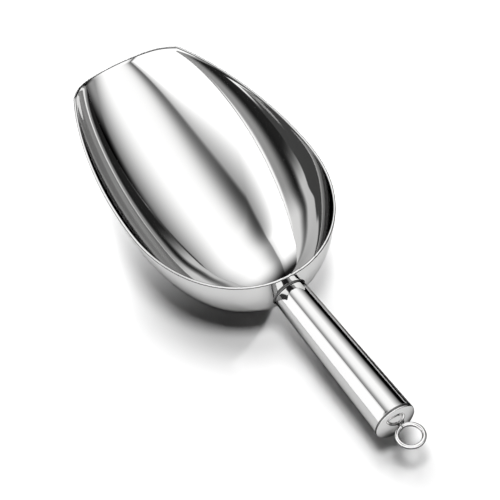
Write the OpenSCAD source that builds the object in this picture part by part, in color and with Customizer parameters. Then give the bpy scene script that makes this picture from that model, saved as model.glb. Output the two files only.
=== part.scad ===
// Ice scoop: pressed sheet bowl, tapered tube handle, domed end cap and wire hanging eye.
// Millimetres. +Y runs from the handle to the mouth, +X to the right, +Z up.
// The origin is the middle of the flat spot the bowl stands on.

/* [Bowl] */
// half the widest width of the bowl at the rim
bowl_half_w = 45.4; // [43:0.2:48]
// from the back of the rim to the widest place
back_len = 53; // [50:0.5:56]
// from the widest place to the front corners
front_len = 77.4; // [70:0.2:85]
// how far the lip bows out in front of the corners
lip_bow = 12; // [9:0.5:14]
// depth of the bowl below its rim
bowl_depth = 43.8; // [40:0.1:48]
// depth of the lip's middle below the rim
lip_depth = 8.4; // [7:0.2:10]
// sheet thickness
sheet = 1.2; // [1:0.1:1.5]

/* [Handle] */
// tube diameter at the closed end
tube_d_end = 19; // [18:0.1:20]
// tube diameter where it meets the bowl
tube_d_bowl = 15.1; // [14:0.1:16]
// length from the closed end to the back of the rim
tube_len = 77.3; // [70:0.5:90]
// wall of the handle tube
tube_wall = 1; // [0.8:0.1:1.5]
// height of the rim above the middle of the tube
rim_over_tube = 13.35; // [12:0.05:15]
// radius of the domed end cap
cap_dome_r = 22; // [20:1:30]
// how far the handle slopes down to its end when the scoop stands
rest_tilt = 4.5; // [4:0.1:5]

/* [Hanging eye] */
// middle diameter of the wire ring
eye_d = 11.2; // [10:0.2:13]
// wire diameter
eye_wire = 1.95; // [1.6:0.05:2.4]

/* [Hidden] */
widest_y = tube_len + back_len;
corner_y = widest_y + front_len;
rim_rise = 1.7;
taper = (tube_d_end - tube_d_bowl) / 2 / tube_len;
cap_c = sqrt(cap_dome_r * cap_dome_r - tube_d_end * tube_d_end / 4);
// powers that shape the section at the side wall, the mouth and the back wall
side_p = 2.09;
side_q = 1.48;
mouth_p = 3.6;
back_p = 1.93;
back_q = 3.34;
lip_p = 2.77;
// the floor starts to rise this far behind the widest place, and how softly it bends
bend_back = 13.2;
bend_soft = 0.29;
// the point of the tube frame that becomes the origin
rest_y = widest_y - 12;
flat_cut = 0.3;
rest_z = lowest() + flat_cut;
nf = 30;
nb = 48;
nu = 20;
e = 0.0005;
$fn = 96;

// ---------------------------------------------------------------- bowl surface
function clampu(v) = min(1, max(0, v));
function half_w(y) =
  let (t = max(0, (y - widest_y) / front_len))
  bowl_half_w * (1 - 0.375 * t * t - 0.03 * pow(t, 8));
function rim_z(y) = rim_over_tube + rim_rise * (y - tube_len) / (corner_y - tube_len);

// share of the way from the deep part of the floor (0) to the lip (1)
function rise(y) =
  let (s = max(0, (y - widest_y + bend_back) / (front_len + lip_bow + bend_back)))
  (1 + bend_soft) * s * s / (s + bend_soft);
function depth(y) = bowl_depth + (lip_depth - bowl_depth) * rise(y);
function wall_p(y) = side_p + (mouth_p - side_p) * rise(y);
function wall_q(y) = side_q + (1 - side_q) * min(1, rise(y));

// front block: t runs from the widest place to the lip, u across from -1 to 1
function front_pt(t, u) =
  let (yr = widest_y + front_len * t)
  let (y = yr + t * t * t * lip_bow * (1 - pow(abs(u), lip_p)))
  let (x = half_w(yr) * u)
  let (f = abs(u) >= 1 ? 1 : clampu(abs(x) / half_w(y)))
  [x, y, rim_z(y) - depth(y) * pow(clampu(1 - pow(f, wall_p(y))), 1 / wall_q(y))];

// back block: angle a runs from the right (0) round the back (90) to the left (180)
function back_pt(a, u) =
  let (c = cos(a))
  let (s = sin(a))
  let (r = pow(pow(abs(c), 2.08) + pow(abs(s), 2.08), -1 / 2.08))
  let (b = s * s)
  let (y = widest_y - back_len * r * s * u)
  let (p = wall_p(y) + (back_p - wall_p(y)) * b)
  let (q = wall_q(y) + (back_q - wall_q(y)) * b)
  [bowl_half_w * r * c * u, y, rim_z(y) - depth(y) * pow(clampu(1 - pow(u, p)), 1 / q)];

function tilt(v) =
  let (y = v[1] - rest_y)
  let (z = v[2] - rest_z)
  [v[0], y * cos(rest_tilt) - z * sin(rest_tilt), y * sin(rest_tilt) + z * cos(rest_tilt)];
function low(v) = (v[1] - rest_y) * sin(rest_tilt) + v[2] * cos(rest_tilt);
function lowest() = min([for (u = [0:0.01:0.5]) low(back_pt(90, u))]) / cos(rest_tilt);

function step_u(j) = sign(j) * (1 - pow(1 - abs(j) / nu, 1.7));
function unit(v) = v / norm(v);
function front_n(t, u) =
  let (v = min(u, 1 - e))
  let (w = max(v, -1 + e))
  let (s = min(t, 1 - e))
  unit(cross(front_pt(s, w + e) - front_pt(s, w - e), front_pt(s + e, w) - front_pt(s, w)));
function back_n(a, u) =
  u == 0 ? [0, 0, 1] :
  let (v = min(u, 1 - e))
  unit(cross(back_pt(a + 0.1, v) - back_pt(a - 0.1, v), back_pt(a, v + e) - back_pt(a, v - e)));

function flat_low(v) = [v[0], v[1], max(0, v[2])];
function front_set(off) = [
  for (i = [0:nf]) for (j = [-nu:nu])
    let (t = i / nf)
    let (u = step_u(j))
    let (q = tilt(front_pt(t, u) + off * front_n(t, u)))
    off == 0 ? flat_low(q) : q
];
function back_set(off) = [
  for (k = [1:nb - 1]) for (j = [1:nu])
    let (a = 180 * k / nb)
    let (u = step_u(j))
    let (q = tilt(back_pt(a, u) + off * back_n(a, u)))
    off == 0 ? flat_low(q) : q
];

row = 2 * nu + 1;
nfront = (nf + 1) * row;
nside = nfront + (nb - 1) * nu;
function fi(i, j) = i * row + j + nu;
function bi(k, j) =
  k == 0 ? fi(0, j) : k == nb ? fi(0, -j) : j == 0 ? fi(0, 0) : nfront + (k - 1) * nu + j - 1;
function quad(a, b, c, d, flip) =
  flip ? [[d, c, b], [d, b, a]] : [[a, b, c], [a, c, d]];
function sheet_faces(base, flip) = [
  for (i = [0:nf - 1]) for (j = [-nu:nu - 1])
    each quad(base + fi(i, j), base + fi(i, j + 1), base + fi(i + 1, j + 1), base + fi(i + 1, j), flip),
  for (k = [0:nb - 1])
    flip ? [base + bi(k, 1), base + bi(k + 1, 1), base + fi(0, 0)]
         : [base + fi(0, 0), base + bi(k + 1, 1), base + bi(k, 1)],
  for (k = [0:nb - 1]) for (j = [1:nu - 1])
    each quad(base + bi(k, j), base + bi(k + 1, j), base + bi(k + 1, j + 1), base + bi(k, j + 1), flip)
];
edge_loop = [
  for (j = [-nu:nu - 1]) fi(nf, j),
  for (i = [nf:-1:1]) fi(i, nu),
  for (k = [0:nb - 1]) bi(k, nu),
  for (i = [0:nf - 1]) fi(i, -nu)
];

module bowl() {
  color("silver")
    polyhedron(
      points = concat(front_set(0), back_set(0), front_set(sheet), back_set(sheet)),
      faces = concat(
        sheet_faces(0, false),
        sheet_faces(nside, true),
        [for (k = [0:len(edge_loop) - 1])
          let (a = edge_loop[k])
          let (b = edge_loop[(k + 1) % len(edge_loop)])
          each quad(a, b, b + nside, a + nside, false)]
      ),
      convexity = 8
    );
}

// ---------------------------------------------------------------- handle
module tube_frame() {
  translate(tilt([0, 0, 0]))
    rotate([rest_tilt, 0, 0])
      children();
}
module along_y(y) {
  translate([0, y, 0])
    rotate([-90, 0, 0])
      children();
}

// solid that fills the bowl just inside its back wall, for fitting the tube to the wall
k0 = 17;
k1 = 31;
j0 = 9;
nk = k1 - k0;
nj = nu - j0;
function ci(k, j) = k * (nj + 1) + j;
module wall_cutter() {
  pts = [for (k = [0:nk]) for (j = [0:nj]) tilt(back_pt(180 * (k + k0) / nb, step_u(j + j0)))];
  m = len(pts);
  polyhedron(
    points = concat(pts, [for (v = pts) v + [0, 14, 0]]),
    faces = concat(
      [for (k = [0:nk - 1]) for (j = [0:nj - 1])
        each quad(ci(k, j), ci(k + 1, j), ci(k + 1, j + 1), ci(k, j + 1), false)],
      [for (k = [0:nk - 1]) for (j = [0:nj - 1])
        each quad(m + ci(k, j), m + ci(k + 1, j), m + ci(k + 1, j + 1), m + ci(k, j + 1), true)],
      [for (k = [0:nk - 1]) each quad(ci(k, nj), ci(k + 1, nj), m + ci(k + 1, nj), m + ci(k, nj), false)],
      [for (k = [0:nk - 1]) each quad(ci(k, 0), ci(k + 1, 0), m + ci(k + 1, 0), m + ci(k, 0), true)],
      [for (j = [0:nj - 1]) each quad(ci(0, j), ci(0, j + 1), m + ci(0, j + 1), m + ci(0, j), false)],
      [for (j = [0:nj - 1]) each quad(ci(nk, j), ci(nk, j + 1), m + ci(nk, j + 1), m + ci(nk, j), true)]
    ),
    convexity = 6
  );
}

module cone_y(r, y0, y1) {
  along_y(y0)
    cylinder(r1 = r - taper * y0, r2 = r - taper * y1, h = y1 - y0);
}

module handle_tube() {
  color("gainsboro")
    difference() {
      tube_frame()
        difference() {
          cone_y(tube_d_end / 2, 0, tube_len + 6);
          cone_y(tube_d_end / 2 - tube_wall, -1, tube_len + 7);
          difference() {
            along_y(-2)
              cylinder(r = tube_d_end, h = 4);
            translate([0, cap_c, 0])
              sphere(r = cap_dome_r - tube_wall);
          }
        }
      wall_cutter();
    }
}

module end_cap() {
  color("lightgray")
    tube_frame()
      intersection() {
        along_y(-4)
          cylinder(r = tube_d_end / 2, h = 8);
        difference() {
          translate([0, cap_c, 0])
            sphere(r = cap_dome_r);
          translate([0, cap_c, 0])
            sphere(r = cap_dome_r - tube_wall);
          along_y(2)
            cylinder(r = tube_d_end, h = 3 * cap_dome_r);
        }
      }
}

// ---------------------------------------------------------------- weld between tube and bowl
// place on the back wall that lies at x and z, found by halving
function wall_z(x, y) =
  let (g = pow(pow(abs(x) / bowl_half_w, 2.08) + pow((widest_y - y) / back_len, 2.08), 1 / 2.08))
  let (b = pow(sin(atan2((widest_y - y) / back_len, x / bowl_half_w)), 2))
  let (p = side_p + (back_p - side_p) * b)
  let (q = side_q + (back_q - side_q) * b)
  g >= 1 ? rim_z(y) : rim_z(y) - bowl_depth * pow(1 - pow(g, p), 1 / q);
function wall_y(x, z, lo, hi, n) =
  n == 0 ? (lo + hi) / 2 :
  wall_z(x, (lo + hi) / 2) > z ? wall_y(x, z, (lo + hi) / 2, hi, n - 1) : wall_y(x, z, lo, (lo + hi) / 2, n - 1);
function on_wall(r, a) =
  let (x = r * cos(a))
  let (z = r * sin(a))
  [x, wall_y(x, z, tube_len - 1, tube_len + 9, 20) - 0.04, z];
function tube_r(y) = tube_d_end / 2 - taper * y + 0.03;
weld_leg = 0.8;
weld_n = 48;

module handle_weld() {
  r0 = tube_r(tube_len);
  ring = [for (i = [0:weld_n - 1]) each
    let (a = 360 * i / weld_n)
    let (w = on_wall(r0, a))
    let (o = on_wall(r0 + weld_leg, a))
    let (y = w[1] - weld_leg)
    [tilt(w), tilt(o), tilt([tube_r(y) * cos(a), y, tube_r(y) * sin(a)])]];
  color("darkgray")
    polyhedron(
      points = ring,
      faces = [for (i = [0:weld_n - 1]) for (j = [0:2])
        let (b = (i + 1) % weld_n)
        let (k = (j + 1) % 3)
        each quad(3 * i + j, 3 * i + k, 3 * b + k, 3 * b + j, false)],
      convexity = 4
    );
}

// ---------------------------------------------------------------- hanging eye
eye_x = 1.2;
eye_z = 0.4;
eye_gap = 0.3;
dome_y = cap_c - sqrt(cap_dome_r * cap_dome_r - eye_x * eye_x - eye_z * eye_z);
eye_y = dome_y - eye_gap - eye_wire / 2 - eye_d / 2;
module dome_ball(grow) {
  translate([0, cap_c, 0])
    sphere(r = cap_dome_r + grow);
}
module eye_shape() {
  translate([eye_x, eye_y, eye_z]) {
    rotate([0, 0, 100])
      rotate_extrude(angle = 355)
        translate([eye_d / 2, 0])
          circle(d = eye_wire);
    translate([0, eye_d / 2, 0])
      rotate([-90, 0, 0])
        cylinder(d = eye_wire, h = 3);
  }
}
module hanging_eye() {
  color("silver")
    tube_frame()
      difference() {
        eye_shape();
        dome_ball(0);
      }
}
module eye_weld() {
  color("darkgray")
    tube_frame()
      difference() {
        translate([eye_x, dome_y - 0.55, eye_z])
          rotate([-90, 0, 0])
            cylinder(r1 = eye_wire / 2 + 0.1, r2 = eye_wire / 2 + 0.9, h = 0.8);
        dome_ball(0);
        eye_shape();
      }
}

bowl();
handle_tube();
end_cap();
hanging_eye();
handle_weld();
eye_weld();
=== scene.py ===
from math import cos, pi, radians, sin, sqrt

import bmesh
import bpy
import numpy as np
from mathutils import Matrix, Vector


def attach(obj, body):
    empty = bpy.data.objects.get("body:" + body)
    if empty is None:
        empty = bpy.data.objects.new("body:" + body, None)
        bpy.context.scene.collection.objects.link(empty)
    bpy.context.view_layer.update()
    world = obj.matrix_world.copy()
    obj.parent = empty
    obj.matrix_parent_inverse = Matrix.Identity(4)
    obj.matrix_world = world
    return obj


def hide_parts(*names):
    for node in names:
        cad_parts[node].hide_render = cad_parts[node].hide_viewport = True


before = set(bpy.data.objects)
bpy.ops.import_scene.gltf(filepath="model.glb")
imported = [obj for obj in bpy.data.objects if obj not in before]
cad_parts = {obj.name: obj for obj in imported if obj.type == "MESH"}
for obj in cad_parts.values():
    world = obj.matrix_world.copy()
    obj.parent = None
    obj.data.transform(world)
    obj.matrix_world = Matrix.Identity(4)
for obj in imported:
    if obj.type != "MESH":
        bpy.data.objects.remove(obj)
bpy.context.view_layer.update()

MM = 0.001

# ------------------------------------------------------------------ the part's own sizes, in mm
# Shapes are made in the tube's frame: the origin is the middle of the tube's closed end and +Y
# runs to the mouth. to_row() then leans them back as the scoop stands.
# Bowl: half its width, how far it runs back and forward from its widest place, and how far the lip
# bows out past its corners.
HALF_W, BACK_LEN, FRONT_LEN, LIP_BOW = 45.4, 53.0, 77.4, 12.0
# its depth at the back and at the lip, and the thickness of the sheet
DEPTH, LIP_DEPTH, SHEET = 43.8, 8.4, 1.2
# how full its sections are: at the sides, at the mouth and at the back wall
SIDE_P, SIDE_Q, MOUTH_P, BACK_P, BACK_Q = 2.09, 1.48, 3.6, 1.93, 3.34
# how full the rim's outline and the bow of the lip are, seen from above
OUTLINE_P, LIP_P = 2.08, 2.77
# how much of its width the bowl loses towards the mouth, and again close to the lip's corners
FRONT_NARROW, CORNER_NARROW = 0.375, 0.03
# the bottom starts to rise this far behind the widest place, and how gently it starts
BEND_BACK, BEND_SOFT = 13.2, 0.29
# Tube: length, radius at the closed end and at the bowl, and wall
TUBE_LEN, R_END, R_BOWL, TUBE_WALL = 77.3, 9.5, 7.55, 1.0
# the rim's height over the tube's axis at the back, and how much higher it is at the lip's corners
RIM_OVER_TUBE, RIM_RISE = 13.35, 1.7
DOME_R = 22.0
# Ring: diameter to the middle of the wire, wire, place across and in height, and gap to the cap
EYE_D, EYE_WIRE, EYE_X, EYE_Z, EYE_GAP = 11.2, 1.95, 1.2, 0.4, 0.3
LEAN = radians(4.5)
WIDEST_Y = TUBE_LEN + BACK_LEN
CORNER_Y = WIDEST_Y + FRONT_LEN
# the middle of the flat that the bowl stands on
REST_Y, REST_Z = WIDEST_Y - 12.0, -28.8332
TAPER = (R_END - R_BOWL) / TUBE_LEN
DOME_C = sqrt(DOME_R ** 2 - R_END ** 2)


def to_row(points):
    """Points in the tube's frame, in mm, to the row frame, still in mm."""
    p = np.asarray(points, float)
    y, z = p[..., 1] - REST_Y, p[..., 2] - REST_Z
    return np.stack([p[..., 0], y * cos(LEAN) - z * sin(LEAN), y * sin(LEAN) + z * cos(LEAN)], -1)


# ------------------------------------------------------------------ bowl surface
def rim_z(y):
    return RIM_OVER_TUBE + RIM_RISE * (y - TUBE_LEN) / (CORNER_Y - TUBE_LEN)


def half_w(y):
    t = np.maximum(0.0, (y - WIDEST_Y) / FRONT_LEN)
    v = np.clip((WIDEST_Y - y) / BACK_LEN, 0.0, 1.0)
    front = 1 - FRONT_NARROW * t ** 2 - CORNER_NARROW * t ** 8
    return HALF_W * front * (1 - v ** OUTLINE_P) ** (1 / OUTLINE_P)


def height(x, y):
    """Outer surface over a plan point."""
    s = np.maximum(0.0, (y - WIDEST_Y + BEND_BACK) / (FRONT_LEN + LIP_BOW + BEND_BACK))
    rise = (1 + BEND_SOFT) * s ** 2 / (s + BEND_SOFT)
    d = DEPTH + (LIP_DEPTH - DEPTH) * rise
    p = SIDE_P + (MOUTH_P - SIDE_P) * rise
    q = SIDE_Q + (1 - SIDE_Q) * np.minimum(rise, 1.0)
    f = np.clip(np.abs(x) / np.maximum(half_w(y), 1e-6), 0.0, 1.0)
    front = d * np.clip(1 - f ** p, 0.0, 1.0) ** (1 / q)
    v = np.maximum(0.0, (WIDEST_Y - y) / BACK_LEN)
    xn = np.abs(x) / HALF_W
    g = np.clip((xn ** OUTLINE_P + v ** OUTLINE_P) ** (1 / OUTLINE_P), 0.0, 1.0)
    b = v ** 2 / np.maximum(v ** 2 + xn ** 2, 1e-12)
    bp = p + (BACK_P - p) * b
    bq = q + (BACK_Q - q) * b
    back = d * np.clip(1 - g ** bp, 0.0, 1.0) ** (1 / bq)
    return rim_z(y) - np.where(y >= WIDEST_Y, front, back)


BLEND_SIGMA, BLEND_REACH = 8.0, 24.0
KERNEL_X = np.linspace(-3.0, 3.0, 25)
KERNEL_W = (1.5 - 0.5 * KERNEL_X ** 2) * np.exp(-0.5 * KERNEL_X ** 2)
KERNEL_W /= KERNEL_W.sum()


def surface(x, y):
    """Outer surface points over plan points, with the curvature step at the widest place eased."""
    z = height(x, y)
    f = np.clip(x / np.maximum(half_w(y), 1e-6), -1.0, 1.0)
    sigma = BLEND_SIGMA * np.exp(-((y - WIDEST_Y) / BLEND_REACH) ** 2)
    dx, dz = np.zeros_like(z), np.zeros_like(z)
    near = np.abs(y - WIDEST_Y) < 2.0 * BLEND_REACH
    fn, yn, sn = f[near], y[near], sigma[near]
    ax, az = np.zeros_like(fn), np.zeros_like(fn)
    for k, w in zip(KERNEL_X, KERNEL_W):
        yk = yn + k * sn
        xk = fn * half_w(yk)
        ax += w * xk
        az += w * height(xk, yk)
    dx[near] = ax - fn * half_w(yn)
    dz[near] = az - height(fn * half_w(yn), yn)
    return np.stack([x + dx, y, z + dz], -1)


def rim_plan(n_side, n_lip):
    """Plan points of the rim, evenly spaced: from one lip corner round the back, then along the lip."""
    a = np.linspace(0, pi, 4001)
    r = (np.abs(np.cos(a)) ** OUTLINE_P + np.abs(np.sin(a)) ** OUTLINE_P) ** (-1 / OUTLINE_P)
    back = np.stack([HALF_W * r * np.cos(a), WIDEST_Y - BACK_LEN * r * np.sin(a)], -1)
    y = np.linspace(CORNER_Y, WIDEST_Y, 2001)[:-1]
    right = np.stack([half_w(y), y], -1)
    left = right[::-1] * [-1, 1]
    side = np.concatenate([right, back, left])
    u = np.linspace(-1, 1, 2001)
    bow = LIP_BOW * (1 - np.abs(u) ** LIP_P)
    lip = np.stack([half_w(np.array(CORNER_Y)) * u, CORNER_Y + bow], -1)

    def even(line, n):
        s = np.concatenate([[0], np.cumsum(np.linalg.norm(np.diff(line, axis=0), axis=1))])
        at = np.linspace(0, s[-1], n + 1)[:-1]
        return np.stack([np.interp(at, s, line[:, i]) for i in (0, 1)], -1)

    return np.concatenate([even(side, n_side), even(lip, n_lip)])


def mesh_object(name, points, faces, node):
    """A smooth piece in the row frame, from points in mm, that stands for a node of the frame."""
    me = bpy.data.meshes.new(name)
    me.from_pydata([tuple(p) for p in np.asarray(points) * MM], [], [tuple(f) for f in faces])
    me.validate()
    me.polygons.foreach_set("use_smooth", [True] * len(me.polygons))
    bm = bmesh.new()
    bm.from_mesh(me)
    bmesh.ops.recalc_face_normals(bm, faces=bm.faces)
    bm.to_mesh(me)
    bm.free()
    me.update()
    ob = bpy.data.objects.new(name, me)
    bpy.context.scene.collection.objects.link(ob)
    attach(ob, "root")
    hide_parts(node)
    return ob


def ring_quads(n_rings, n_around, flip=False):
    """Quads between rings of n_around points that follow each other in the list."""
    out = []
    for i in range(n_rings - 1):
        for j in range(n_around):
            k = (j + 1) % n_around
            a, b = i * n_around, (i + 1) * n_around
            q = (a + j, a + k, b + k, b + j)
            out.append(q[::-1] if flip else q)
    return out


def closing_quads(n_rings, n_around):
    """Quads from the last ring back to the first."""
    last = (n_rings - 1) * n_around
    out = []
    for j in range(n_around):
        k = (j + 1) % n_around
        out.append((last + j, last + k, k, j))
    return out


def end_fans(n_rings, n_around, flip=False):
    """Triangles that close the first and last ring to the two points that follow the rings."""
    last = (n_rings - 1) * n_around
    first_point = n_rings * n_around
    out = []
    for j in range(n_around):
        k = (j + 1) % n_around
        for tri in ((first_point, k, j), (first_point + 1, last + j, last + k)):
            out.append(tri[::-1] if flip else tri)
    return out


def around(n):
    """n angles round a circle."""
    return np.linspace(0, 2 * pi, n, endpoint=False)


def unit(v):
    return v / np.maximum(np.linalg.norm(v, axis=-1, keepdims=True), 1e-12)


# the bowl's mesh: points round its side and lip, rings out from the resting spot, and the strips
# that round the bare edge of the sheet
SIDE_POINTS, LIP_POINTS, BOWL_RINGS, EDGE_STRIPS = 440, 76, 84, 8
PATH_STEPS = 900
# how softly the belly turns into the flat that it rests on
REST_SOFT = 0.06


def stand(points):
    """To the row frame, with the belly pressed flat where it would pass below the floor."""
    q = to_row(points)
    q[..., 2] = 0.5 * (q[..., 2] + np.sqrt(q[..., 2] ** 2 + REST_SOFT ** 2))
    return q


def bowl_rings(rim, centre):
    """Outer surface in rings, evenly spaced along each line from the resting spot to the rim."""
    # close steps near the rim, where the wall is steepest
    fine = 1 - (1 - np.linspace(0, 1, PATH_STEPS)) ** 4
    share = np.linspace(0, 1, BOWL_RINGS + 1)[1:]
    rho = np.zeros((BOWL_RINGS, len(rim)))
    for j, rim_point in enumerate(rim):
        xy = centre + fine[:, None] * (rim_point - centre)
        p = surface(xy[:, 0], xy[:, 1])
        s = np.concatenate([[0], np.cumsum(np.linalg.norm(np.diff(p, axis=0), axis=1))])
        rho[:, j] = np.interp(share * (s[-1] - SHEET / 2), s, fine)
    xy = centre + rho[..., None] * (rim[None] - centre)
    return surface(xy[..., 0], xy[..., 1])


def make_bowl():
    """The bowl, and the ranges of its faces beside the crown of the bare edge that get painted dark outlines
    of shade.
    """
    rim = rim_plan(SIDE_POINTS, LIP_POINTS)
    n = len(rim)
    centre = np.array([0.0, REST_Y])
    outer = bowl_rings(rim, centre)
    pole = surface(centre[:1], centre[1:])
    along = np.roll(outer, -1, 1) - np.roll(outer, 1, 1)
    out = np.empty_like(outer)
    out[1:-1] = outer[2:] - outer[:-2]
    out[0] = outer[1] - pole
    out[-1] = 3 * outer[-1] - 4 * outer[-2] + outer[-3]
    normal = unit(np.cross(out, along))
    normal *= np.sign(normal[BOWL_RINGS // 2, 0, 2])
    edge = unit(np.cross(normal[-1], unit(along[-1])))
    edge *= np.sign(np.sum(edge * out[-1], -1, keepdims=True))
    inner = outer + SHEET * normal
    pole_n = unit(normal[0].mean(0))
    round_edge = [
        outer[-1] + SHEET / 2 * (normal[-1] * (1 - cos(t)) + edge * sin(t))
        for t in np.linspace(0, pi, EDGE_STRIPS + 1)[1:-1]
    ]
    rings = [stand(r) for r in outer] + [to_row(r) for r in round_edge]
    rings += [to_row(r) for r in inner[::-1]]
    points = np.concatenate(rings + [stand(pole), to_row(pole + SHEET * pole_n)])
    flip = not np.cross(out[5, 0], along[5, 0])[2] > 0
    faces = ring_quads(len(rings), n, flip) + end_fans(len(rings), n, flip)
    # the first two and the last two strips of the rounded edge, which take the painted shade of dark outlines
    # along the rim
    first_strip = BOWL_RINGS - 1
    outer_shade_strips = range(first_strip * n, (first_strip + 2) * n)
    inner_shade_strips = range((first_strip + EDGE_STRIPS - 2) * n, (first_strip + EDGE_STRIPS) * n)
    ob = mesh_object("bowl_sheet", points, faces, node="bowl")
    return ob, outer_shade_strips, inner_shade_strips


# ------------------------------------------------------------------ handle
def wall_y(x, z):
    """Where a line along Y at x, z meets the outside of the bowl's back wall."""
    lo, hi = np.full_like(x, TUBE_LEN - 1.0), np.full_like(x, TUBE_LEN + 9.0)
    for _ in range(40):
        mid = (lo + hi) / 2
        v = (WIDEST_Y - mid) / BACK_LEN
        g = ((np.abs(x) / HALF_W) ** OUTLINE_P + v ** OUTLINE_P) ** (1 / OUTLINE_P)
        above = (g >= 1) | (height(x, mid) > z)
        lo, hi = np.where(above, mid, lo), np.where(above, hi, mid)
    return (lo + hi) / 2


def tube_r(y):
    return R_END - TAPER * y


def lathe(profile, n):
    """Rings of points about Y from (y, radius) pairs."""
    a = around(n)
    return [np.stack([r * np.cos(a), np.full(n, y), r * np.sin(a)], -1) for y, r in profile]


def sphere_y(r, big):
    """Where a sphere of radius big about the dome's centre lies at r from the axis."""
    return DOME_C - sqrt(big ** 2 - r ** 2)


ROUND_POINTS = 144
# the tube's end and the cap meet here
SEAM_Y = sphere_y(R_END, DOME_R - TUBE_WALL)


def make_tube():
    n, bevel = ROUND_POINTS, 0.12
    a = around(n)
    ca, sa = np.cos(a), np.sin(a)
    rings = []
    # inner wall from the front to the cap
    r_in = R_BOWL - TUBE_WALL
    front_in = wall_y(r_in * ca, r_in * sa)
    y0 = sphere_y(R_END - TUBE_WALL, DOME_R - TUBE_WALL)
    for t in np.linspace(1, 0, 9):
        y = y0 + t * (front_in - y0)
        r = tube_r(y) - TUBE_WALL
        rings.append(np.stack([r * ca, y, r * sa], -1))
    # the face that meets the cap, bevelled outside
    corner = bevel / 4
    rings += lathe([
        (sphere_y(R_END - bevel, DOME_R - TUBE_WALL), tube_r(SEAM_Y) - bevel),
        (SEAM_Y + corner, tube_r(SEAM_Y) - corner),
        (SEAM_Y + bevel, tube_r(SEAM_Y + bevel)),
    ], n)
    # the outside, to the front
    front_out = wall_y(R_BOWL * ca, R_BOWL * sa)
    y0 = SEAM_Y + bevel
    for t in np.linspace(0, 1, 61)[1:]:
        y = y0 + t * (front_out - y0)
        r = tube_r(y)
        rings.append(np.stack([r * ca, y, r * sa], -1))
    faces = ring_quads(len(rings), n) + closing_quads(len(rings), n)
    points = to_row(np.concatenate(rings))
    return mesh_object("handle_tube_skin", points, faces, node="handle_tube")


def make_cap():
    """The cap, and the range of its faces on the shoulder that get a painted dark line of shade."""
    n, n_dome, n_shoulder = ROUND_POINTS, 26, 8
    shoulder, pole_r, inner_r = 0.55, 0.4, DOME_R - TUBE_WALL
    # outside from the middle, round the shoulder, to the seam, then back along the inside
    lim = R_END - shoulder
    profile = [(sphere_y(r, DOME_R), r) for r in np.linspace(pole_r, lim, n_dome)]
    slope = lim / sqrt(DOME_R ** 2 - lim ** 2)
    p0 = np.array([sphere_y(lim, DOME_R), lim])
    p1 = p0 + [shoulder * slope, shoulder]
    p2 = p1 + [shoulder, 0.0]
    for t in np.linspace(0, 1, n_shoulder + 1)[1:]:
        q = (1 - t) ** 2 * p0 + 2 * t * (1 - t) * p1 + t ** 2 * p2
        profile.append((q[0], q[1]))
    profile += [(SEAM_Y - 0.14, R_END - 0.002), (SEAM_Y - 0.04, R_END - 0.03), (SEAM_Y - 0.005, R_END - 0.14)]
    profile += [(sphere_y(r, inner_r) - 0.005, r) for r in np.linspace(R_END - 0.6, pole_r, 12)]
    rings = lathe(profile, n)
    poles = np.array([[0, sphere_y(0, DOME_R), 0], [0, sphere_y(0, inner_r), 0]])
    points = to_row(np.concatenate(rings + [poles]))
    faces = ring_quads(len(rings), n) + end_fans(len(rings), n)
    # from halfway round the shoulder to the seam: these faces take a painted dark line of shade
    dark = range((n_dome + n_shoulder // 2) * n, (n_dome + n_shoulder + 2) * n)
    ob = mesh_object("end_cap_disc", points, faces, node="end_cap")
    return ob, dark


def make_handle_weld():
    n, leg = 192, 0.5
    a = around(n)
    ca, sa = np.cos(a), np.sin(a)
    joint = np.stack([R_BOWL * ca, wall_y(R_BOWL * ca, R_BOWL * sa), R_BOWL * sa], -1)
    r1 = R_BOWL + leg
    on_wall = np.stack([r1 * ca, wall_y(r1 * ca, r1 * sa), r1 * sa], -1)
    y2 = joint[:, 1] - leg
    on_tube = np.stack([tube_r(y2) * ca, y2, tube_r(y2) * sa], -1)
    # it starts a little inside the wall
    rings = [joint + [0, 0.05, 0]]
    for t in np.linspace(0, 1, 9):
        rings.append((1 - t) ** 2 * on_wall + 2 * t * (1 - t) * joint + t ** 2 * on_tube)
    faces = ring_quads(len(rings), n) + closing_quads(len(rings), n)
    points = to_row(np.concatenate(rings))
    return mesh_object("handle_weld_bead", points, faces, node="handle_weld")


# ------------------------------------------------------------------ hanging eye
DOME_Y = DOME_C - sqrt(DOME_R ** 2 - EYE_X ** 2 - EYE_Z ** 2)
EYE_Y = DOME_Y - EYE_GAP - EYE_WIRE / 2 - EYE_D / 2


def sweep(path, radius, n=28):
    """A closed tube round a path of points in a plane of constant Z."""
    p = np.asarray(path, float)
    tan = unit(np.gradient(p, axis=0))
    up = np.array([0.0, 0.0, 1.0])
    side = unit(np.cross(tan, up))
    a = around(n)
    rings = []
    for centre, across in zip(p, side):
        rings.append(centre + radius * (np.outer(np.cos(a), across) + np.outer(np.sin(a), up)))
    points = np.concatenate(rings + [p[:1], p[-1:]])
    return points, ring_quads(len(rings), n) + end_fans(len(rings), n)


def make_eye():
    """The ring, from its joint round to the joint again, and the short end that meets the cap."""
    r = EYE_D / 2
    a = np.radians(np.linspace(100, 455, 181))
    ring = np.stack([EYE_X + r * np.cos(a), EYE_Y + r * np.sin(a), np.full(len(a), EYE_Z)], -1)
    ring_points, ring_faces = sweep(ring, EYE_WIRE / 2)
    y = np.linspace(EYE_Y + r, DOME_Y + 0.2, 6)
    stub = np.stack([np.full(6, EYE_X), y, np.full(6, EYE_Z)], -1)
    stub_points, stub_faces = sweep(stub, EYE_WIRE / 2)
    faces = ring_faces + [tuple(i + len(ring_points) for i in f) for f in stub_faces]
    points = to_row(np.concatenate([ring_points, stub_points]))
    return mesh_object("hanging_eye_wire", points, faces, node="hanging_eye")


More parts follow.
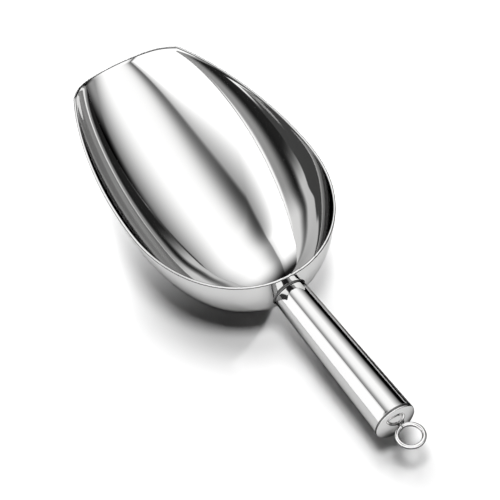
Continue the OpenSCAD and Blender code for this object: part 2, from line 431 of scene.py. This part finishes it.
def make_eye_weld():
    n, spread, climb, sunk = 96, 0.75, 0.5, 0.1
    a = around(n)
    rings = []
    r0, r1 = EYE_WIRE / 2, EYE_WIRE / 2 + spread
    for t in np.linspace(0, 1, 8):
        r = (1 - t) ** 2 * r0 + 2 * t * (1 - t) * r0 + t ** 2 * r1
        x, z = EYE_X + r * np.cos(a), EYE_Z + r * np.sin(a)
        dome = DOME_C - np.sqrt(DOME_R ** 2 - x ** 2 - z ** 2)
        rings.append(np.stack([x, dome - (1 - t) ** 2 * climb, z], -1))
    rings.append(rings[-1] + [0, sunk, 0])
    rings.append(np.stack([EYE_X + r0 * np.cos(a), np.full(n, DOME_Y + sunk), EYE_Z + r0 * np.sin(a)], -1))
    faces = ring_quads(len(rings), n) + closing_quads(len(rings), n)
    points = to_row(np.concatenate(rings))
    return mesh_object("eye_weld_bead", points, faces, node="eye_weld")


bowl, outer_shade_strips, inner_shade_strips = make_bowl()
tube = make_tube()
cap, shoulder_shade_band = make_cap()
weld = make_handle_weld()
eye = make_eye()
eye_bead = make_eye_weld()


# ------------------------------------------------------------------ materials
# STEEL_GREY is the share of light that the steel gives back. EDGE_TINT is low where the outline
# darkens at a grazing angle.
STEEL_GREY, EDGE_TINT = 0.58, 0.05
CLOUD_SCALE, CLOUD_DETAIL, CLOUD_LOW, CLOUD_HIGH = 60.0, 3.0, 0.3, 0.7


def steel(name, grey, rough, edge, haze):
    """Stainless steel: cloudy unevenness in gloss, from rough to rough + haze, and slightly in grey."""
    m = bpy.data.materials.new(name)
    m.use_nodes = True
    nt = m.node_tree
    bsdf = nt.nodes["Principled BSDF"]
    bsdf.inputs["Metallic"].default_value = 1.0
    bsdf.inputs["Specular Tint"].default_value = (edge, edge, edge, 1)
    co = nt.nodes.new("ShaderNodeTexCoord")
    cloud = nt.nodes.new("ShaderNodeTexNoise")
    cloud.inputs["Scale"].default_value = CLOUD_SCALE
    cloud.inputs["Detail"].default_value = CLOUD_DETAIL
    nt.links.new(co.outputs["Object"], cloud.inputs["Vector"])
    gloss = nt.nodes.new("ShaderNodeMapRange")
    for k, v in enumerate((CLOUD_LOW, CLOUD_HIGH, rough, rough + haze), 1):
        gloss.inputs[k].default_value = v
    nt.links.new(cloud.outputs["Fac"], gloss.inputs[0])
    nt.links.new(gloss.outputs[0], bsdf.inputs["Roughness"])
    tone = nt.nodes.new("ShaderNodeMix")
    tone.data_type = "RGBA"
    tone.inputs[6].default_value = (grey * 0.985, grey * 0.985, grey * 0.985, 1)
    tone.inputs[7].default_value = (grey * 1.015, grey * 1.012, grey * 1.005, 1)
    nt.links.new(cloud.outputs["Fac"], tone.inputs[0])
    nt.links.new(tone.outputs[2], bsdf.inputs["Base Color"])
    return m


def set_look(ob, look, shade_look, takes_shade):
    """One steel all over, and the second material, a painted shade, on the faces that the test picks."""
    ob.data.materials.append(look)
    ob.data.materials.append(shade_look)
    for poly in ob.data.polygons:
        if takes_shade(poly):
            poly.material_index = 1


# The painted shade tone paints dark lines of shade at the rim, under the ring's wire and on the cap's
# shoulder, and the welds are darker than polished steel. Both are there for the likeness: no such finish was
# seen.
UNDERSIDE_Z, WELD_GREY, PAINTED_SHADE_GREY = 0.3, STEEL_GREY * 0.22, 0.11
bowl_look = steel("bowl_polish", STEEL_GREY, 0.025, 0.5, 0.03)
tube_look = steel("tube_polish", STEEL_GREY * 0.9, 0.025, EDGE_TINT, 0.03)
cap_look = steel("cap_polish", STEEL_GREY, 0.04, EDGE_TINT, 0.05)
weld_look = steel("weld_polish", WELD_GREY, 0.3, EDGE_TINT, 0.12)
eye_look = steel("eye_polish", STEEL_GREY, 0.04, 0.0, 0.05)
bead_look = steel("bead_polish", WELD_GREY, 0.3, EDGE_TINT, 0.12)
painted_shade_look = steel("painted_shade_edge", PAINTED_SHADE_GREY, 0.3, EDGE_TINT, 0.1)
set_look(bowl, bowl_look, painted_shade_look, lambda poly: poly.index in outer_shade_strips or poly.index in inner_shade_strips)
set_look(cap, cap_look, painted_shade_look, lambda poly: poly.index in shoulder_shade_band)
# the wire's faces that look downward take the painted shade, so its underside is painted darker
set_look(eye, eye_look, painted_shade_look, lambda poly: poly.normal.z < UNDERSIDE_Z)
tube.data.materials.append(tube_look)
weld.data.materials.append(weld_look)
eye_bead.data.materials.append(bead_look)
# hidden from the rays that light the floor, so that the shadow under it comes out deeper
bowl.visible_diffuse = False


# ------------------------------------------------------------------ floor and card
def flat_piece(name, x0, x1, y0, y1, z, grey, rough):
    """A level rectangle of a matt grey, in metres, that belongs to the stage."""
    me = bpy.data.meshes.new(name)
    me.from_pydata([(x0, y0, z), (x1, y0, z), (x1, y1, z), (x0, y1, z)], [], [(0, 1, 2, 3)])
    ob = bpy.data.objects.new(name, me)
    bpy.context.scene.collection.objects.link(ob)
    m = bpy.data.materials.new(name + "_matt")
    m.use_nodes = True
    inputs = m.node_tree.nodes["Principled BSDF"].inputs
    inputs["Base Color"].default_value = (grey, grey, grey, 1)
    inputs["Roughness"].default_value = rough
    inputs["Specular IOR Level"].default_value = 0.0
    me.materials.append(m)
    return ob


flat_piece("floor", -4.0, 4.0, -4.0, 4.0, 0.0, 0.9, 0.9)
# a black card on the floor to the right, seen only in the steel
card = flat_piece("black_card", 0.055, 1.6, -0.6, -0.03, 0.0005, 0.004, 1.0)
card.visible_camera = False
card.visible_diffuse = False
card.visible_shadow = False


# ------------------------------------------------------------------ light
world = bpy.data.worlds.new("studio")
bpy.context.scene.world = world
world.use_nodes = True
sky = world.node_tree


def put(socket, value):
    if isinstance(value, Num):
        sky.links.new(value.socket, socket)
    else:
        socket.default_value = value


def calc(operation, *values):
    node = sky.nodes.new("ShaderNodeMath")
    node.operation = operation
    for socket, value in zip(node.inputs, values):
        put(socket, value)
    return Num(node.outputs[0])


class Num:
    """A number that Math nodes work out, so that a light pattern can be written as a formula."""

    def __init__(self, socket):
        self.socket = socket

    def __add__(self, other):
        return calc("ADD", self, other)

    def __sub__(self, other):
        return calc("SUBTRACT", self, other)

    def __rsub__(self, other):
        return calc("SUBTRACT", other, self)

    def __mul__(self, other):
        return calc("MULTIPLY", self, other)

    def __pow__(self, other):
        return calc("POWER", self, other)

    def __neg__(self):
        return calc("MULTIPLY", self, -1.0)


def step(value, lo, hi):
    """0 at lo and before it, 1 at hi and past it, smooth between."""
    node = sky.nodes.new("ShaderNodeMapRange")
    node.interpolation_type = "SMOOTHSTEP"
    for k, v in enumerate((value, lo, hi, 0.0, 1.0)):
        put(node.inputs[k], v)
    return Num(node.outputs[0])


def mixed(share, a, b):
    """a where share is 0, b where it is 1."""
    return share * (b - a) + a


DISPLAY_GAMMA, AMBIENT, DEEPEST = 2.2, 0.03, 0.02


def light(level, reflections):
    """The light that makes steel show this display level, 0 to 1, after some reflections."""
    return level ** DISPLAY_GAMMA * (1.0 / STEEL_GREY ** reflections)


# The directions below are in degrees: across is positive to the right, ahead is positive towards
# the mouth. All levels are display levels from 0 to 1, and may pass 1 for a blown highlight.
def seen_once(across, ahead):
    """Softboxes to the left and overhead, a graded panel, and a fall to black on the right."""
    up, down = calc("MAXIMUM", ahead, 0.0), calc("MAXIMUM", -ahead, 0.0)
    # the dark left edge of the graded panel bends to the right both ways from the middle
    edge = up ** 3.0 * 0.0000855 - 30.5 + down * 0.9 + down ** 3.0 * 0.0023
    past_edge = across - calc("MINIMUM", edge, 20.0)
    dark = step(ahead, 5.0, 30.0) * 0.28 + 0.27 + step(down, 3.0, 15.0) * 0.13
    # the panel grows from dark at its edge to full light
    grow = (calc("MAXIMUM", past_edge, 0.0) * (1 / 15.3)) ** 1.8
    panel = mixed(1.0 - calc("EXPONENT", -grow), dark, 1.03)
    # left of the edge it is grey, and lighter the further left
    side = calc("MAXIMUM", -past_edge, 0.0)
    off = ahead - 3.0
    base = calc("MAXIMUM", off, 0.0) ** 2.0 * 0.0009 + 0.5 + calc("MINIMUM", off, 0.0) ** 2.0 * 0.0004
    left = calc("MINIMUM", calc("MINIMUM", base, 0.86) + side * 0.021, 1.05)
    left = mixed(step(side, 0.0, step(ahead, 20.0, 8.0) * 2.5 + 2.0), dark, left)
    level = mixed(calc("GREATER_THAN", past_edge, 0.0), left, panel)
    # to the right it falls off to black, but for a grey strip behind
    past = calc("MAXIMUM", across - 25.0, 0.0)
    fall = (1.02 - (past * 0.012 + past ** 2.0 * 0.0001)) * step(across, 74.0, 58.0)
    fall = calc("MAXIMUM", fall, step(ahead, 3.0, -10.0) * 0.57)
    level = calc("MINIMUM", level, mixed(step(across, 18.0, 26.0), 1.05, fall))
    # light low behind the handle, and black low ahead of the mouth
    level = mixed(step(ahead, -42.0, -34.0), 0.95, level)
    horizon = mixed(step(ahead, 47.0, 66.0), 1.0, 0.01)
    return light(calc("MAXIMUM", level, DEEPEST), 1) * horizon


def seen_twice(across, ahead):
    """A dark band up the middle, lighter on both sides, with a white end and a dark streak."""
    up = calc("MAXIMUM", ahead, 0.0)
    off = across - (step(ahead, 0.0, 12.0) * -10.0 + 6.5)
    level = mixed(step(off, 0.0, 20.0), up * 0.013 + 0.13, step(ahead, -2.0, 10.0) * 0.26 + 0.57)
    level = mixed(step(off, 0.0, -14.0), level, step(ahead, -10.0, 3.0) * 0.6 + 0.15)
    level = mixed(step(across, 34.0, 41.0), level, 1.0)
    streak = step(ahead, 4.0, 14.0) * -14.0 - 26.0
    level = mixed(step(across - streak, 0.5, -1.5), level, 0.26)
    corner = step(across, -31.0, -37.0) * step(ahead, -12.0, -17.0)
    return light(mixed(corner, level, 1.0), 2)


def seen_more(across):
    """Mid grey, a little lighter to the right."""
    return light(step(across, 0.0, 25.0) * 0.2 + 0.5, 3)


def studio_light(reflections):
    """Light by direction. Each number of reflections has its own pattern, as no real room does."""
    co = sky.nodes.new("ShaderNodeTexCoord")
    sep = sky.nodes.new("ShaderNodeSeparateXYZ")
    sky.links.new(co.outputs["Generated"], sep.inputs[0])
    x, y, z = (Num(s) for s in sep.outputs)
    across = calc("ARCTAN2", x, z) * (180 / pi)
    ahead = calc("ARCSINE", y) * (180 / pi)
    out = mixed(calc("GREATER_THAN", reflections, 1.5), seen_once(across, ahead), seen_twice(across, ahead))
    return mixed(calc("GREATER_THAN", reflections, 2.5), out, seen_more(across))


def path_number(name):
    return Num(light_path.outputs[name])


# The camera sees plain white, steel mirrors the pattern, and all else gets only the dim ambient
# light. Steel that is mirrored or lit by way of the floor doesn't show the pattern either.
light_path = sky.nodes.new("ShaderNodeLightPath")
plain = mixed(path_number("Is Camera Ray"), AMBIENT, 1.0)
direct = calc("LESS_THAN", path_number("Diffuse Depth"), 0.5)
in_steel = path_number("Is Glossy Ray") * direct
pattern = studio_light(path_number("Glossy Depth"))
background = sky.nodes["Background"]
put(background.inputs["Strength"], mixed(in_steel, plain, pattern))
background.inputs["Color"].default_value = (1, 1, 1, 1)


def lamp(name, kind, energy, place, aim=(0.0, 0.0, 0.0), **settings):
    """A lamp that isn't itself seen, straight or in the steel. Rays that strike it by chance don't
    count, so that none leaks under the bowl, which diffuse rays pass through."""
    data = bpy.data.lights.new(name, kind)
    data.energy = energy
    data.cycles.use_multiple_importance_sampling = False
    for key, value in settings.items():
        setattr(data, key, value)
    ob = bpy.data.objects.new(name, data)
    bpy.context.scene.collection.objects.link(ob)
    ob.location = place
    ob.rotation_euler = (Vector(place) - Vector(aim)).to_track_quat("Z", "Y").to_euler()
    ob.visible_glossy = False
    ob.visible_camera = False


LAMP_FAR, FILL_SOFT = 3.0, 0.03
lamp("key", "AREA", 50.0, Vector((-0.130, -0.223, 0.966)) * LAMP_FAR, shape="DISK", size=0.85)
lamp("overhead", "AREA", 66.0, Vector((0.02, 0.26, 0.965)) * LAMP_FAR, shape="DISK", size=1.8)
# two narrow low fills, only to lift the shadow beside the raised front half
lamp("fill_left", "SPOT", 36.0, (-0.62, 0.16, 0.33), (-0.036, 0.066, 0.0),
     spot_size=radians(10.0), spot_blend=1.0, shadow_soft_size=FILL_SOFT)
lamp("fill_right", "SPOT", 32.0, (0.62, 0.0, 0.33), (0.056, -0.012, 0.0),
     spot_size=radians(8.5), spot_blend=1.0, shadow_soft_size=FILL_SOFT)


# ------------------------------------------------------------------ camera
CAM_AZ, CAM_EL, SENSOR, LENS = radians(-33.278), radians(53.367), 36.0, 225.07
# the middle of the handle's end lies this far right of, above and in front of the camera, in mm
SEEN_RIGHT, SEEN_UP, SEEN_BACK = 59.56, -70.33, -1278.56

cam_data = bpy.data.cameras.new("camera")
cam_data.sensor_width = SENSOR
cam_data.lens = LENS
cam_data.clip_end = 20.0
camera = bpy.data.objects.new("camera", cam_data)
bpy.context.scene.collection.objects.link(camera)
bpy.context.scene.camera = camera
# the directions are in the tube's frame, so the camera leans back with the scoop
back = Vector((sin(CAM_AZ) * cos(CAM_EL), -cos(CAM_AZ) * cos(CAM_EL), sin(CAM_EL)))
right = Vector((cos(CAM_AZ), sin(CAM_AZ), 0.0))
up = back.cross(right)
place = -(right * SEEN_RIGHT + up * SEEN_UP + back * SEEN_BACK)
turn = Matrix.Rotation(LEAN, 3, "X") @ Matrix((right, up, back)).transposed()
camera.matrix_world = Matrix.Translation(Vector(to_row(np.array(place))) * MM) @ turn.to_4x4()

bpy.context.scene.view_settings.view_transform = "Standard"
